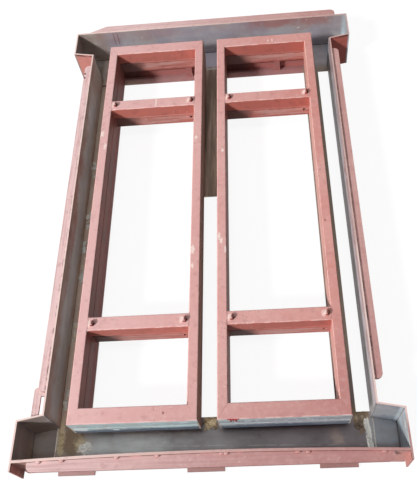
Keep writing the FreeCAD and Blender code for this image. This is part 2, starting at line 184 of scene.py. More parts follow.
class Paint:
    """One procedural material while its nodes are laid."""

    def __init__(self, name):
        self.material = bpy.data.materials.new(name)
        self.material.use_nodes = True
        self.tree = self.material.node_tree
        self.shader = self.tree.nodes["Principled BSDF"]
        self.place = self.node("ShaderNodeTexCoord", out="Object")
        self.facing = self.node("ShaderNodeNewGeometry", out="Normal")
        self.x, self.y, self.z = self.parts(self.place)
        self.face_x, self.face_y, self.face_z = self.parts(self.facing)

    def node(self, kind, settings=None, sockets=None, out=0):
        """A new node with its settings and sockets filled in, as the value of one output."""
        made = self.tree.nodes.new(kind)
        for name, value in (settings or {}).items():
            setattr(made, name, value)
        for name, value in (sockets or {}).items():
            self.feed(made.inputs[name], value)
        return Value(self, made.outputs[out])

    def feed(self, socket, value):
        """Link a value to a socket, or set a constant on it."""
        if isinstance(value, Value):
            self.tree.links.new(value.socket, socket)
        else:
            socket.default_value = value

    def math(self, operation, first, second):
        return self.node("ShaderNodeMath", {"operation": operation}, {0: first, 1: second})

    def larger(self, first, second):
        return self.math("MAXIMUM", first, second)

    def sign(self, value):
        return self.math("SIGN", value, 0.0)

    def parts(self, vector):
        """The three parts of a vector."""
        return [self.node("ShaderNodeSeparateXYZ", None, {0: vector}, axis) for axis in "XYZ"]

    def ramp(self, value, low, high):
        """0 below low, 1 above high, smooth between."""
        settings = {"interpolation_type": "SMOOTHSTEP"}
        return self.node("ShaderNodeMapRange", settings, {0: value, 1: low, 2: high})

    def fade(self, value, low, high):
        """1 below low, 0 above high, smooth between."""
        return 1 - self.ramp(value, low, high)

    def band(self, value, low, high, soft):
        """1 between low and high, fading over soft on both sides."""
        return self.ramp(value, low - soft, low) * self.fade(value, high, high + soft)

    def mix(self, mask, under, over):
        """One colour over another, as far as the mask lets it show."""
        return self.node("ShaderNodeMix", {"data_type": "RGBA"}, {0: mask, 6: under, 7: over}, 2)

    def grain(self, scale, detail=4.0, stretch=(1, 1, 1)):
        """A cloudy pattern around 0.5. A small stretch value draws it out along that axis."""
        place = self.node("ShaderNodeMapping", None, {"Vector": self.place, "Scale": stretch})
        sockets = {"Vector": place, "Scale": scale, "Detail": detail, "Roughness": 0.58}
        return self.node("ShaderNodeTexNoise", None, sockets)

    def patches(self, scale, low, high, detail=4.0, stretch=(1, 1, 1)):
        """Cloudy patches: 0 where the pattern is below low, 1 where it is above high."""
        return self.ramp(self.grain(scale, detail, stretch), low, high)

    def wander(self, scale, reach):
        """A cloudy shift both ways, for ragged borders."""
        return (self.grain(scale) - 0.5) * reach

    def blot(self, centre, size, ragged=0.9, scale=120.0, soft=0.4):
        """A ragged patch on the surface round one place."""
        kind, edge = "ShaderNodeVectorMath", 1.1
        offset = self.node(kind, {"operation": "SUBTRACT"}, {0: self.place, 1: centre})
        scaled = self.node(kind, {"operation": "DIVIDE"}, {0: offset, 1: size})
        reach = self.node(kind, {"operation": "LENGTH"}, {0: scaled}, "Value")
        return self.fade(reach + self.wander(scale, ragged), edge - soft, edge)

    def finish(self, colour, roughness, height, depth, metallic=0.0):
        """Feed the shader, with the height as a bump of the given depth."""
        self.feed(self.shader.inputs["Base Color"], colour)
        self.feed(self.shader.inputs["Roughness"], roughness)
        self.feed(self.shader.inputs["Metallic"], metallic)
        sockets = {"Strength": 0.6, "Distance": depth, "Height": height}
        self.feed(self.shader.inputs["Normal"], self.node("ShaderNodeBump", None, sockets))
        return self.material


def flecks(paint, scale):
    """Small chips and spatters gathered in loose groups."""
    groups = paint.patches(7.0, 0.52, 0.66)
    return groups * paint.patches(scale, 0.64, 0.70, detail=2.0)


def top_paint(paint, left, right, cloud):
    """Paint that looks up: dusty, graded from left to right, grimy towards the right of the sill."""
    top = paint.mix(paint.ramp(paint.x, -0.42, 0.42), left, right)
    top = paint.mix(cloud * 0.25, top, PINK_DUST)
    trodden = paint.ramp(paint.x - 2 * paint.y, 0.75, 1.8)
    top = paint.mix(trodden * 0.75, top, MAUVE_GRIME)
    top = paint.mix(paint.patches(75.0, 0.42, 0.72) * 0.15, top, PINK_DUST)
    return paint.mix(paint.patches(52.0, 0.52, 0.75) * 0.35, top, MAUVE_GRIME)


def side_paint(paint, face, cloud):
    """Paint on upright faces: clouded, deeper to the right, with dark patches."""
    side = paint.mix(cloud * 0.6, face, RED_DULL)
    side = paint.mix(paint.ramp(paint.x, -0.4, 0.4) * 0.6, side, RED_DEEP)
    return paint.mix(paint.patches(38.0, 0.5, 0.75, detail=3.0) * 0.35, side, RED_SHADE)


def worn_paint(paint, left, right, face, edge_wear, dust=1.0):
    """Red oxide paint: chalky on top, redder on upright faces, chipped along rounded edges."""
    up = paint.ramp(paint.face_z, 0.35, 0.85) * dust
    edge = paint.ramp(paint.face_z, 0.12, 0.4) * paint.fade(paint.face_z, 0.82, 0.985)
    cloud = paint.patches(6.0, 0.35, 0.7, detail=5.0)
    side = side_paint(paint, face, cloud)
    colour = paint.mix(up, side, top_paint(paint, left, right, cloud))
    colour = paint.mix(edge * paint.patches(45.0, 0.42, 0.56) * edge_wear, colour, CHALK_AND_HIGHLIGHT)
    colour = paint.mix(flecks(paint, 150.0) * 0.4, colour, CHALK_AND_HIGHLIGHT)
    return paint.mix(flecks(paint, 190.0) * 0.55, colour, RED_SHADE)


def shaded_and_lit_faces(paint, colour):
    """Inside the cores: painted shade on the faces that look right, painted light on those that look
    left.
    """
    cloud = paint.patches(11.0, 0.3, 0.6, detail=5.0)
    right_face = paint.ramp(paint.face_x, 0.3, 0.8)
    colour = paint.mix(right_face * (cloud * 0.25 + 0.5), colour, SHADE_BROWN)
    left_face = paint.ramp(paint.face_x * -1, 0.3, 0.8)
    return paint.mix(left_face * (cloud * 0.3 + 0.5), colour, LIT_PINK)


def paint_height(paint):
    """Brush marks and orange peel for the bump."""
    return paint.grain(260.0, 2.0) * 0.5 + paint.grain(40.0, 3.0) * 0.5


def bare_steel(paint, clean, film, film_share, streak_share=0.5):
    """Worn mill steel with a broken film of cement."""
    streaks = paint.patches(30.0, 0.38, 0.66, stretch=(0.12, 0.12, 1.0))
    colour = paint.mix(streaks * streak_share, clean, STEEL_DARK)
    crust = paint.patches(14.0, 0.44, 0.62, detail=6.0) * film_share
    return paint.mix(crust, colour, film), crust


# Pale scuffs and rusty stains on top of the cores: place and size in plan
SCUFFS = (
    ((-0.162, 0.354), (0.0022, 0.022)),
    ((-0.317, 0.244), (0.006, 0.012)),
    ((-0.304, 0.198), (0.004, 0.012)),
    ((-0.038, 0.209), (0.005, 0.007)),
    ((-0.041, -0.166), (0.006, 0.014)),
    ((0.028, -0.13), (0.004, 0.012)),
    ((0.033, -0.144), (0.004, 0.009)),
    ((0.044, -0.17), (0.003, 0.012)),
    ((0.038, 0.155), (0.004, 0.006)),
    ((-0.041, -0.214), (0.004, 0.007)),
    ((0.184, 0.585), (0.0018, 0.008)),
    ((0.197, 0.587), (0.0018, 0.008)),
)
STAINS = (
    ((-0.1, -0.59), (0.003, 0.004)),
    ((-0.046, -0.57), (0.003, 0.005)),
    ((0.305, -0.099), (0.0025, 0.004)),
)

# Splashes of cement on the near ends of the cores, partly painted glints: place across and up, width
# and height
CORE_END_SPLASHES_AND_GLINTS = (
    (-0.053, RIM - 0.01, 0.011, 0.012),
    (-0.3, TIER_SEAM - 0.006, 0.022, 0.014),
    (-0.218, RIM - 0.055, 0.008, 0.007),
)

# Patches beside the bolts, dark ones rust and painted shadow, pale ones chalk and painted light: offset
# to the right and behind, half width and half length
TUBE_RUST_AND_SHADOW_PATCH = (0.006, 0.003, 0.006, 0.007)
TUBE_CHALK_AND_LIGHT_PATCH = (-0.009, 0.0, 0.004, 0.01)
BOLT_CHALK_AND_LIGHT_PATCH = (-0.006, 0.0, 0.005, 0.01)
BOLT_RUST_AND_SHADOW_PATCH = (0.0055, 0.0, 0.0055, 0.009)


def core_end_steel(paint):
    """The cores' bare ends: pale wiped steel above, dark blue below, white spatter partly of cement,
    partly painted glints.
    """
    low = paint.fade(paint.z + paint.wander(60.0, 0.02), TIER_SEAM - 0.02, TIER_SEAM - 0.006)
    clean = paint.mix(paint.ramp(paint.x, -0.1, 0.2), STEEL_TEAL, STEEL_HAZE)
    clean = paint.mix(low * 0.95, clean, STEEL_BLUE)
    wiped = paint.patches(90.0, 0.46, 0.66, detail=3.0, stretch=(0.1, 1.0, 1.0))
    steel = paint.mix(wiped * 0.4, clean, STEEL_GREY)
    scored = paint.patches(110.0, 0.52, 0.66, detail=3.0, stretch=(0.07, 1.0, 1.0))
    steel = paint.mix(scored * 0.4, steel, STEEL_BLUE)
    film = paint.patches(34.0, 0.5, 0.62, detail=5.0) * (1 - low)
    steel = paint.mix(film * 0.5, steel, FILM_GREY)
    # The white flecks, spatter and splashes are partly cement and partly painted glints
    steel = paint.mix(flecks(paint, 80.0), steel, WHITE_WEAR_AND_GLINT)
    spatter_and_glints = paint.patches(70.0, 0.57, 0.66) * (1 - low)
    steel = paint.mix(spatter_and_glints * 0.8, steel, WHITE_WEAR_AND_GLINT)
    top_edge = paint.ramp(paint.z + paint.wander(80.0, 0.012), RIM - 0.012, RIM - 0.006)
    steel = paint.mix(top_edge * 0.6, steel, WHITE_WEAR_AND_GLINT)
    for x, z, wide, tall in CORE_END_SPLASHES_AND_GLINTS:
        size = (wide, MARK_DEPTH, tall)
        splash_and_light = paint.blot((x, CORE_SILL, z), size, ragged=1.2, scale=90.0)
        steel = paint.mix(splash_and_light, steel, WHITE_WEAR_AND_GLINT)
    return steel


def across_core(paint):
    """How far a place lies to the right of the middle of its core."""
    return paint.x - paint.sign(paint.x) * CORE_MIDDLE


def from_bolt(paint):
    """How far a place lies to the right of the nearest bolt and behind it."""
    reach = CORE_HALF_WIDTH - STILE_WIDTH - BOLT_INSET
    across = across_core(paint)
    right = across - paint.sign(across) * reach
    transoms = [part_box(f"left_core_upper_{end}_transom") for end in ENDS]
    rows = [(low.y + high.y) / 2 for low, high in transoms]
    along = paint.y - (rows[0] + rows[1]) / 2
    behind = along - paint.sign(along) * (rows[1] - rows[0]) / 2
    return right, behind


def bolt_patch(paint, right, behind, wide, long):
    """A ragged patch beside every bolt, set off to the right and behind by the given amounts."""
    bolt_right, bolt_behind = from_bolt(paint)
    over_x = (bolt_right - right) / wide
    over_y = (bolt_behind - behind) / long
    reach = over_x * over_x + over_y * over_y + paint.wander(200.0, 1.2)
    return paint.fade(reach, 0.5, 1.2)


def bay_dust_and_shadow(paint, colour, dust, painted_shadow):
    """Near faces low in the openings: painted shadow to the left, where the stiles cast it, and a
    streaky band of dust to the right.
    """
    near_face = paint.ramp(paint.face_y * -1, 0.5, 0.8)
    clear = paint.ramp(across_core(paint) + paint.wander(14.0, 0.06), -0.08, -0.03)
    height = paint.z + paint.wander(30.0, 0.012)
    band = paint.band(height, TIER_SEAM - 0.028, TIER_SEAM - 0.009, 0.004)
    streaks = paint.patches(60.0, 0.3, 0.6, stretch=(0.12, 1, 1))
    colour = paint.mix(near_face * band * streaks * clear * dust, colour, PINK_DUST)
    return paint.mix(near_face * (1 - clear) * painted_shadow, colour, DIRT)


def core_top_marks(paint, painted, from_middle):
    """On top of the cores: rust and painted shadow, chalk and painted light beside the bolts; scuffs,
    stains and the mitred seams.
    """
    on_top = paint.ramp(paint.z, RIM - 0.002, RIM - 0.001)
    painted = paint.mix(bolt_patch(paint, *TUBE_RUST_AND_SHADOW_PATCH) * on_top * 0.4, painted, DARK_RUST_AND_SHADE)
    painted = paint.mix(bolt_patch(paint, *TUBE_CHALK_AND_LIGHT_PATCH) * on_top * 0.45, painted, CHALK_AND_HIGHLIGHT)
    for centre, size in SCUFFS:
        scuff = paint.blot((*centre, RIM), (*size, SCUFF_DEPTH), ragged=2.6, scale=260.0)
        painted = paint.mix(scuff * 0.8, painted, CHALK_AND_HIGHLIGHT)
    for centre, size in STAINS:
        stain = paint.blot((*centre, RIM), (*size, SCUFF_DEPTH), ragged=0.6)
        painted = paint.mix(stain * 0.7, painted, RUST)
    stile_share = (CORE_HALF_WIDTH - from_middle) / STILE_WIDTH
    rail_share = (CORE_HEAD - abs(paint.y)) / RAIL_WIDTH
    mitre = paint.fade(abs(stile_share - rail_share), 0.012, 0.035)
    seam = mitre * paint.fade(rail_share, 0.98, 1.0)
    return paint.mix(seam * paint.patches(20.0, 0.4, 0.6) * 0.5, painted, RED_SHADE)


def core_skin(paint, from_middle):
    """Where the cores' outer faces lie: the sides, the ends, and both without the painted top."""
    skin = 0.0012
    top_tier = paint.ramp(paint.z, RIM - 0.02, RIM - 0.012)
    rounding = (1 - top_tier) * 0.003
    side = paint.ramp(from_middle + rounding, CORE_HALF_WIDTH - skin, CORE_HALF_WIDTH - skin / 2)
    end = paint.ramp(abs(paint.y) + rounding, CORE_HEAD - skin, CORE_HEAD - skin / 2)
    painted_top = paint.ramp(paint.face_z, 0.2, 0.6) * top_tier
    return side, end, paint.larger(side, end) * (1 - painted_top)


def core_tube(name, face, edge_wear, dust, bay_dust_and_shade):
    """Core tubes: painted on top and inside, bare on the faces that shape the concrete."""
    paint = Paint(name)
    from_middle = abs(abs(paint.x) - CORE_MIDDLE)
    painted = worn_paint(paint, PINK_LEFT, PINK_RIGHT, face, edge_wear, dust)
    # Painted shade and painted light, by which way the inner faces look
    painted = shaded_and_lit_faces(paint, painted)
    # Low in the openings the lower tier takes painted shade: darker towards the head, dark to the left
    # where the stiles cast shadow
    head_end = paint.ramp(paint.y + paint.x * 0.06 + paint.wander(12.0, 0.04), 0.53, 0.57)
    painted = paint.mix(head_end * bay_dust_and_shade * 0.4, painted, RED_SHADE)
    painted = bay_dust_and_shadow(paint, painted, dust=bay_dust_and_shade * 0.9, painted_shadow=bay_dust_and_shade * 1.5)
    painted = core_top_marks(paint, painted, from_middle)
    side, end, bare = core_skin(paint, from_middle)
    side_steel, crust = bare_steel(paint, STEEL_BROWN, FILM_GREY, film_share=0.55)
    # The outer faces that look right, away from the key lamp, take a painted shade of brown
    right_face = paint.ramp(paint.face_x, 0.2, 0.6)
    side_steel = paint.mix(right_face * 0.95, side_steel, CORE_SHADE_BROWN)
    steel = paint.mix(side, core_end_steel(paint), side_steel)
    colour = paint.mix(bare, painted, steel)
    polish = bare * (1 - crust) * (1 - right_face) * 0.2
    roughness = 0.62 - polish + bare * right_face * 0.3
    metallic = end * bare * 0.1
    return paint.finish(colour, roughness, paint_height(paint), PAINT_RELIEF, metallic)


# Stray paint and cement on the left and head walls: place, size, strength and colour
WALL_MARKS = (
    ((-SIDE_FACE, -0.06, RIM - 0.036), (MARK_DEPTH, 0.1, 0.016), 0.55, RED_DULL),
    ((-SIDE_FACE, -0.23, RIM - 0.03), (MARK_DEPTH, 0.07, 0.014), 0.45, RED_DULL),
    ((-SIDE_FACE, 0.2, FLOOR_TOP + 0.005), (MARK_DEPTH, 0.035, 0.012), 0.9, FILM_GREY),
    ((-SIDE_FACE, -0.077, FLOOR_TOP + 0.006), (MARK_DEPTH, 0.04, 0.014), 0.9, FILM_GREY),
    ((-SIDE_FACE, -0.337, FLOOR_TOP + 0.006), (MARK_DEPTH, 0.045, 0.015), 0.9, FILM_GREY),
    ((0.21, HEAD_FACE, RIM - 0.01), (0.1, MARK_DEPTH, 0.026), 0.6, RED_DULL),
    ((0.34, HEAD_FACE, RIM - 0.012), (0.07, MARK_DEPTH, 0.024), 0.45, RED_DULL),
)

# White cement in the right sill horn, also painted light on its shaded end plate: place along its end
# plate and drop from the rim, then the size
HORN_CEMENT_AND_LIGHT = ((-0.63, 0.023), (-0.664, 0.008))
HORN_CEMENT_AND_LIGHT_SIZE = (0.02, 0.02, 0.009)
# Scratches on the head wall: place along it, drop from the rim and size
HEAD_SCRATCHES = (-0.322, -0.3095)
SCRATCH_DROP = 0.028
SCRATCH_SIZE = (0.0016, MARK_DEPTH, 0.03)


def left_wall_steel(paint, between):
    """Inside of the left wall: brown, cool grey with a painted sheen along the middle, tan below,
    painted shade in the horns.
    """
    cool_and_sheen = paint.band(paint.y + paint.wander(9.0, 0.5), -0.55, 0.42, 0.1)
    middle = paint.band(paint.z + paint.wander(14.0, 0.05), RIM - 0.09, RIM - 0.035, 0.02)
    steel = paint.mix(cool_and_sheen * middle * between, WALL_BROWN, COOL_STEEL_AND_SHEEN)
    smears = (1 - middle) * paint.patches(13.0, 0.4, 0.6)
    steel = paint.mix(smears * 0.3, steel, BROWN_SMEAR_AND_SHADE)
    # Painted shade in the left horns
    steel = paint.mix((1 - between) * 0.6, steel, BROWN_SMEAR_AND_SHADE)
    foot = paint.fade(paint.z + paint.grain(20.0) * 0.03, FLOOR_TOP + 0.02, FLOOR_TOP + 0.05)
    return paint.mix(foot * 0.7, steel, STEEL_TAN)


def right_wall_steel(paint):
    """Inside of the right wall: dull, painted light along the top and on the horn end plate, blue in
    the horns.
    """
    upper = paint.ramp(paint.z + paint.wander(14.0, 0.02), RIM - 0.06, RIM - 0.03)
    nearer = 1 - paint.ramp(paint.y, 0.0, 0.35) * 0.7
    steel = paint.mix(upper * nearer, STEEL_DULL, LIT_WALL_PALE)
    steel = paint.mix(paint.ramp(paint.y, -0.6, -0.57), STEEL_ICE, steel)
    return paint.mix(paint.ramp(paint.x, HORN_FACE - 0.012, HORN_FACE - 0.006), steel, LIT_END_PLATE_STEEL)


def wall_marks(paint, steel):
    """Marks on the walls: stray paint, cement, dirt along the foot and scratches."""
    for centre, size, strength, tone in WALL_MARKS:
        mark = paint.blot(centre, size, ragged=1.5, scale=60.0, soft=0.8)
        steel = paint.mix(mark * strength, steel, tone)
    # Cement splashes, whitened as painted light on the shaded end plate
    for y, drop in HORN_CEMENT_AND_LIGHT:
        centre = (HORN_FACE, y, RIM - drop)
        splash_and_light = paint.blot(centre, HORN_CEMENT_AND_LIGHT_SIZE, ragged=2.0, soft=0.8)
        steel = paint.mix(splash_and_light * 0.8, steel, CEMENT_WHITE)
    steel = paint.mix(flecks(paint, 70.0) * 0.6, steel, CEMENT_WHITE)
    foot_line = paint.fade(paint.z, FLOOR_TOP + 0.001, FLOOR_TOP + 0.004)
    steel = paint.mix(foot_line * 0.8, steel, DIRT)
    for x in HEAD_SCRATCHES:
        scratch = paint.blot((x, HEAD_FACE, RIM - SCRATCH_DROP), SCRATCH_SIZE, ragged=0.5)
        steel = paint.mix(scratch * 0.7, steel, RED_SHADE)
    return steel


def wall_steel(paint):
    """Bare inside of the tray's plates: side walls, lilac ends, paint that strayed over the top."""
    between = paint.fade(abs(paint.y), HEAD_HORN_ROOT - 0.01, HEAD_HORN_ROOT + 0.01)
    left = left_wall_steel(paint, between)
    clean = paint.mix(paint.ramp(paint.x, -BLEND_END, -BLEND_START), left, STEEL_LILAC)
    clean = paint.mix(paint.ramp(paint.x, BLEND_START, BLEND_END), clean, right_wall_steel(paint))
    steel, crust = bare_steel(paint, clean, FILM_GREY, film_share=0.4, streak_share=0.3)
    steel = paint.mix(paint.patches(8.0, 0.4, 0.7, detail=5.0) * 0.2, steel, RED_SHADE)
    stray = paint.ramp(paint.z + paint.wander(16.0, 0.12), RIM - 0.05, RIM - 0.012)
    horn = paint.ramp(abs(paint.x), SIDE_FACE + 0.002, SIDE_FACE + 0.01)
    share = paint.patches(5.0, 0.3, 0.65) * (0.3 + between * 0.3 - horn * 0.2)
    steel = paint.mix(stray * share, steel, RED_DULL)
    return wall_marks(paint, steel), crust


def wall_paint(paint):
    """Outside and rim of the tray's plates: dusty paint, dirt in the joints, painted shade on the near
    left corner.
    """
    painted = worn_paint(paint, RIM_LEFT, RIM_RIGHT, RED_FACE, edge_wear=0.3)
    upright = paint.fade(paint.face_z, 0.3, 0.6)
    near_end = paint.fade(paint.y, SILL_OUTER, SILL_OUTER + 0.02) * paint.ramp(paint.x, 0.32, 0.42)
    dusty = near_end * 0.35 + paint.fade(paint.x, -0.1, 0.1) * 0.2
    painted = paint.mix(upright * dusty, painted, PINK_DUST)
    joint = paint.band(paint.z, RIM - 0.007, RIM - 0.0025, 0.001)
    broken = paint.patches(28.0, 0.36, 0.5, detail=3.0)
    painted = paint.mix(joint * upright * broken * 0.9, painted, DIRT)
    # The near left corner and its fin take a painted shade
    near_face = paint.fade(paint.y, SILL_OUTER - 0.002, SILL_OUTER + 0.004)
    corner = near_face * paint.ramp(paint.x * -1, 0.38, 0.41)
    shaded_fin = corner * upright * paint.patches(18.0, 0.3, 0.55)
    painted = paint.mix(shaded_fin * 0.7, painted, DARK_DIRT_AND_SHADE)
    right_rim = (1 - upright) * paint.ramp(paint.x, SIDE_FACE - 0.006, SIDE_FACE)
    pale_rim = right_rim * paint.band(paint.y, -0.6, -0.2, 0.05)
    return paint.mix(pale_rim * 0.7, painted, RIM_LEFT)


def tray_wall(name, inward):
    """Tray plates: painted outside and on the rim, bare inside."""
    paint = Paint(name)
    outward = paint.face_x * paint.x + paint.face_y * paint.y
    within = paint.ramp(paint.y, SILL_OUTER - 0.001, SILL_OUTER + 0.001)
    inner = paint.ramp(outward * -inward, 0.03, 0.1) * within
    steel, crust = wall_steel(paint)
    colour = paint.mix(inner, wall_paint(paint), steel)
    clean = inner * (1 - crust)
    roughness = 0.62 - clean * 0.16
    return paint.finish(colour, roughness, paint_height(paint), PAINT_RELIEF, clean * 0.08)


# Stains on the floor: place and size in plan, raggedness, scale, softness, strength and colour
FLOOR_STAINS = (
    ((-0.346, -0.335), (0.006, 0.02), 1.2, 120.0, 0.4, 1.0, FILM_GREY),
    ((-0.346, -0.3), (0.006, 0.02), 1.2, 120.0, 0.4, 1.0, FILM_GREY),
    ((0.292, -0.63), (0.024, 0.024), 1.8, 60.0, 0.9, 0.35, STEEL_TAN),
    ((-0.34, -0.615), (0.034, 0.055), 1.0, 60.0, 0.6, 0.85, SPILL_BROWN),
    ((-0.369, -0.61), (0.012, 0.055), 1.4, 80.0, 0.7, 0.8, CEMENT_TAN),
    ((-0.318, -0.626), (0.022, 0.022), 1.8, 110.0, 0.9, 0.8, CEMENT_TAN),
    ((-0.007, -0.578), (0.014, 0.024), 0.9, 120.0, 0.4, 0.8, CEMENT_TAN),
    ((0.352, -0.585), (0.02, 0.04), 1.2, 120.0, 0.4, 0.9, SPILL_BROWN),
)
# White splashes at the left and right of the sill floor, in the same way without the last two
FLOOR_SPLASHES = (
    ((-0.308, -0.636), (0.022, 0.015), 1.6, 110.0, 0.8),
    ((0.367, -0.628), (0.007, 0.04), 0.9, 120.0, 0.4),
)


def floor_blot(paint, centre, size, ragged, scale, soft):
    """A ragged patch on the floor."""
    return paint.blot((*centre, FLOOR_TOP), (*size, MARK_DEPTH), ragged, scale, soft)


def floor_marks(paint, steel):
    """On the floor: darker along the sill, a tide line, stains, painted shade at the foot of the sill
    wall, white splashes.
    """
    sill = paint.fade(paint.y, -0.5, -0.4) * paint.fade(paint.x, 0.355, 0.372)
    rightward = paint.ramp(paint.x + paint.wander(12.0, 0.12), -0.3, 0.18) * 0.52 + 0.1
    steel = paint.mix(sill * rightward, steel, SILL_DARK)
    from_tide = abs(paint.y - TIDE_PLACE + paint.x * TIDE_SLOPE + paint.wander(9.0, 0.003))
    tide = paint.fade(from_tide, 0.0006, 0.0018) * paint.band(paint.x, -0.26, 0.345, 0.02)
    steel = paint.mix(tide * paint.patches(30.0, 0.38, 0.5) * 0.25, steel, FILM_GREY)
    for *stain, strength, tone in FLOOR_STAINS:
        steel = paint.mix(floor_blot(paint, *stain) * strength, steel, tone)
    # Painted shade along the foot of the sill wall
    foot = paint.fade(paint.y + paint.wander(20.0, 0.01), -0.656, -0.64)
    steel = paint.mix(foot * (paint.ramp(paint.x, 0.0, 0.25) * 0.3 + 0.4), steel, DARK_DIRT_AND_SHADE)
    left, right = [floor_blot(paint, *splash_and_light) for splash_and_light in FLOOR_SPLASHES]
    splashed = paint.larger(left, right)
    return paint.mix(splashed, steel, CEMENT_WHITE), splashed


def floor_zones(paint):
    """Clean floor colours: brown on the left, a painted shade in the left horns, grey along the sill,
    slate in the right horns.
    """
    clean = paint.mix(paint.ramp(paint.x, -0.36, -0.28), STEEL_BROWN, STEEL_GREY)
    clean = paint.mix(paint.ramp(paint.x, -0.385, -0.37), BROWN_SMEAR_AND_SHADE, clean)
    clean = paint.mix(paint.ramp(paint.x, -0.2, 0.3) * 0.9, clean, STEEL_DULL)
    return paint.mix(paint.ramp(paint.x, 0.365, 0.385) * 0.9, clean, HORN_SLATE)


def mullion_floor(paint, steel):
    """The mullion's floor: streaky brown, a pale joint, then lilac on the head plate."""
    mullion = paint.fade(abs(paint.x), 0.05, 0.06) * paint.ramp(paint.y, 0.0, 0.02)
    streaks = paint.patches(40.0, 0.4, 0.65, stretch=(1, 0.1, 1))
    brown = paint.mix(streaks, MULLION_BROWN, STEEL_TAN)
    brown = paint.mix(paint.band(paint.y, 0.598, 0.604, 0.003) * 0.6, brown, FILM_GREY)
    return paint.mix(mullion, steel, paint.mix(paint.ramp(paint.y, 0.607, 0.612), brown, STEEL_LILAC))


def jamb_floor(paint, steel):
    """Floor in the head bays and along the jambs: mauve grime, tan on the left with painted shade at
    its edges and far corner, cement on the right.
    """
    from_middle = abs(abs(paint.x) - CORE_MIDDLE)
    bay = paint.fade(from_middle, CORE_HALF_WIDTH - 0.03, CORE_HALF_WIDTH - 0.02)
    steel = paint.mix(bay * paint.band(paint.y, 0.5, 0.62, 0.005) * 0.85, steel, MAUVE_GRIME)
    # Painted shade in the far left corner
    far_left = paint.ramp(paint.y, 0.5, 0.56) * paint.fade(paint.x, -0.34, -0.3)
    steel = paint.mix(far_left * 0.25, steel, DARK_DIRT_AND_SHADE)
    jamb = paint.fade(abs(paint.y), 0.56, 0.6)
    left_jamb = jamb * paint.fade(paint.x, -0.3, -0.2)
    steel = paint.mix(left_jamb * 0.6, steel, STEEL_TAN)
    # Painted shade along the left jamb's edges, by the wall and the core
    edges = 1 - paint.band(paint.x + paint.wander(25.0, 0.012), -0.368, -0.352, 0.008)
    steel = paint.mix(left_jamb * edges * 0.1, steel, DARK_DIRT_AND_SHADE)
    return paint.mix(jamb * paint.ramp(paint.x, 0.29, 0.3) * 0.8, steel, CEMENT_SHADE)


def tray_floor(name):
    """Floor plates: worn steel with a film of cement, marks and dirty plate edges."""
    paint = Paint(name)
    clean = floor_zones(paint)
    steel, crust = bare_steel(paint, clean, FILM_GREY, film_share=0.22, streak_share=0.25)
    steel = paint.mix(paint.patches(9.0, 0.46, 0.64, detail=6.0) * 0.45, steel, STEEL_DARK)
    rubbed = paint.patches(70.0, 0.35, 0.8, detail=5.0, stretch=(0.4, 1, 1))
    steel = paint.mix(rubbed * 0.3, steel, STEEL_DARK)
    steel = paint.mix(flecks(paint, 60.0) * 0.25, steel, RUST)
    steel = jamb_floor(paint, mullion_floor(paint, steel))
    steel, splashed = floor_marks(paint, steel)
    horn_edge = paint.ramp(paint.x, HORN_FACE - 0.004, HORN_FACE - 0.0015)
    plate_edge = paint.band(paint.y, 0.553, 0.559, 0.002) * paint.fade(paint.x, -0.31, -0.3)
    steel = paint.mix(paint.larger(horn_edge, plate_edge) * 0.75, steel, DIRT)
    roughness = 0.46 + crust * 0.35
    metallic = (1 - crust) * (1 - splashed) * 0.3
    return paint.finish(steel, roughness, paint_height(paint), STEEL_RELIEF, metallic)


# Rust spots on the left bar: place and size
BAR_RUST_SPOTS = ((-0.397, 0.486, RIM - 0.006), (-0.397, 0.503, RIM - 0.006))
RUST_SPOT_SIZE = (0.004, 0.005, MARK_DEPTH)


def painted_bar(name, stretch):
    """Stiffening bars, bracket and lugs: dusty red oxide brushed along the bar."""
    paint = Paint(name)
    colour = worn_paint(paint, BAR_LEFT, BAR_RIGHT, RED_FACE, edge_wear=0.4)
    brushed = paint.patches(240.0, 0.42, 0.68, detail=3.0, stretch=stretch)
    colour = paint.mix(brushed * 0.35, colour, MAUVE_GRIME)
    # The faces that look to the front are painted darker
    colour = paint.mix(paint.ramp(paint.face_y * -1, 0.4, 0.8) * 0.75, colour, FRONT_FACE_DARK)
    colour = paint.mix(paint.fade(paint.z, 0.02, 0.03) * 0.6, colour, LUG_DUST)
    for centre in BAR_RUST_SPOTS:
        colour = paint.mix(paint.blot(centre, RUST_SPOT_SIZE) * 0.8, colour, DARK_RUST_AND_SHADE)
    joint = paint.fade(abs(paint.x), SIDE_OUTER + 0.003, SIDE_OUTER + 0.006)
    between = paint.fade(abs(paint.y), 0.56, 0.57)
    broken = paint.patches(26.0, 0.46, 0.56, detail=3.0)
    nearer = 1 - paint.ramp(paint.y, -0.5, -0.1) * 0.6
    colour = paint.mix(joint * between * broken * nearer * 0.8, colour, DIRT)
    return paint.finish(colour, roughness=0.64, height=paint_height(paint), depth=PAINT_RELIEF)


def rebate_flat(name):
    """Rebate flats and legs: thin paint gone brown and stained with cement."""
    paint = Paint(name)
    colour = worn_paint(paint, PINK_LEFT, PINK_RIGHT, RED_DULL, edge_wear=0.2)
    # Painted shade and painted light, by which way the faces look
    colour = shaded_and_lit_faces(paint, colour)
    colour = paint.mix(paint.patches(12.0, 0.42, 0.62, detail=5.0) * 0.55, colour, RED_SHADE)
    colour = paint.mix(paint.patches(24.0, 0.58, 0.7, detail=5.0) * 0.4, colour, FILM_GREY)
    dusty = paint.patches(60.0, 0.3, 0.65, stretch=(0.15, 1, 1))
    colour = paint.mix(dusty * 0.3 + 0.4, colour, MAUVE_GRIME)
    # Painted shadow to the left, low in the openings
    colour = bay_dust_and_shadow(paint, colour, dust=0.0, painted_shadow=0.75)
    return paint.finish(colour, roughness=0.7, height=paint_height(paint), depth=STEEL_RELIEF)


